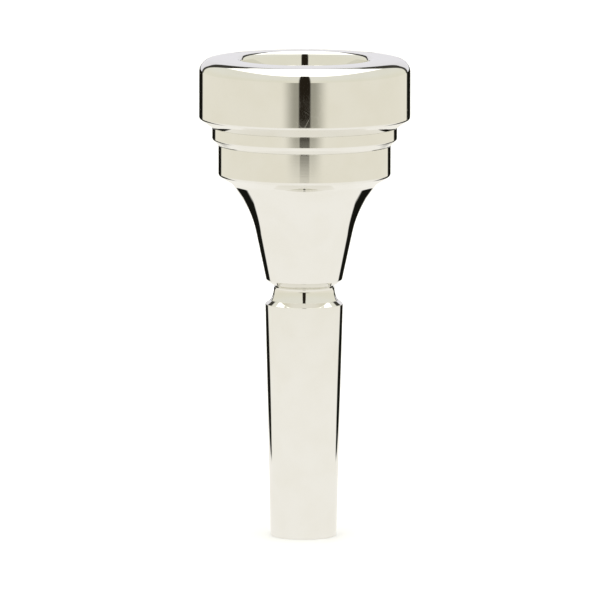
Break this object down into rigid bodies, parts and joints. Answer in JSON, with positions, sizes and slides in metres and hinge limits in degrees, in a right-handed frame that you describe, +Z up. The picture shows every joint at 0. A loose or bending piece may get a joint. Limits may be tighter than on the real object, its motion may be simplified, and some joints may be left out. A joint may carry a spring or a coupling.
{
  "type": "tenor horn mouthpiece",
  "caption": "Modular deep-cup horn mouthpiece: screw rim, spacer ring, cup, screw-in backbore and slip-on shank sleeve.",
  "frame": {"origin": "middle of the shank's tip, on the plane that the mouthpiece stands on", "axes": "+Z up the bore, from the shank's tip to the rim; the part is round about Z"},
  "size_m": [0.0305, 0.0304, 0.0696],
  "materials": {
    "silver_plate": "polished silver plate over turned brass",
    "seal_rubber": "satin black nitrile rubber"
  },
  "bodies": {
    "cup": {"cup": "silver_plate", "spacer_ring": "silver_plate"},
    "rim_seal": {"rim_seal": "seal_rubber"},
    "rim": {"rim": "silver_plate"},
    "backbore_seal": {"backbore_seal": "seal_rubber"},
    "backbore": {"backbore": "silver_plate"},
    "shank_sleeve": {"shank_sleeve": "silver_plate"}
  },
  "joints": [
    {"name": "rim_lift", "type": "slide", "parent": "cup", "child": "rim_seal", "axis": [0, 0, 1], "range_m": [0, 0.005]},
    {"name": "rim_turn", "type": "hinge", "parent": "rim_seal", "child": "rim", "pos_m": [0, 0, 0.0646], "axis": [0, 0, 1], "range_deg": [0, 1800]},
    {"name": "backbore_drop", "type": "slide", "parent": "cup", "child": "backbore_seal", "axis": [0, 0, -1], "range_m": [0, 0.0045]},
    {"name": "backbore_turn", "type": "hinge", "parent": "backbore_seal", "child": "backbore", "pos_m": [0, 0, 0.0366], "axis": [0, 0, -1], "range_deg": [0, 2160]},
    {"name": "sleeve_slide", "type": "slide", "parent": "backbore", "child": "shank_sleeve", "axis": [0, 0, -1], "range_m": [0, 0.033]}
  ],
  "couplings": [
    {"joint": "rim_turn", "follows": "rim_lift", "rad_per_m": 6283.2},
    {"joint": "backbore_turn", "follows": "backbore_drop", "rad_per_m": 8377.6}
  ]
}
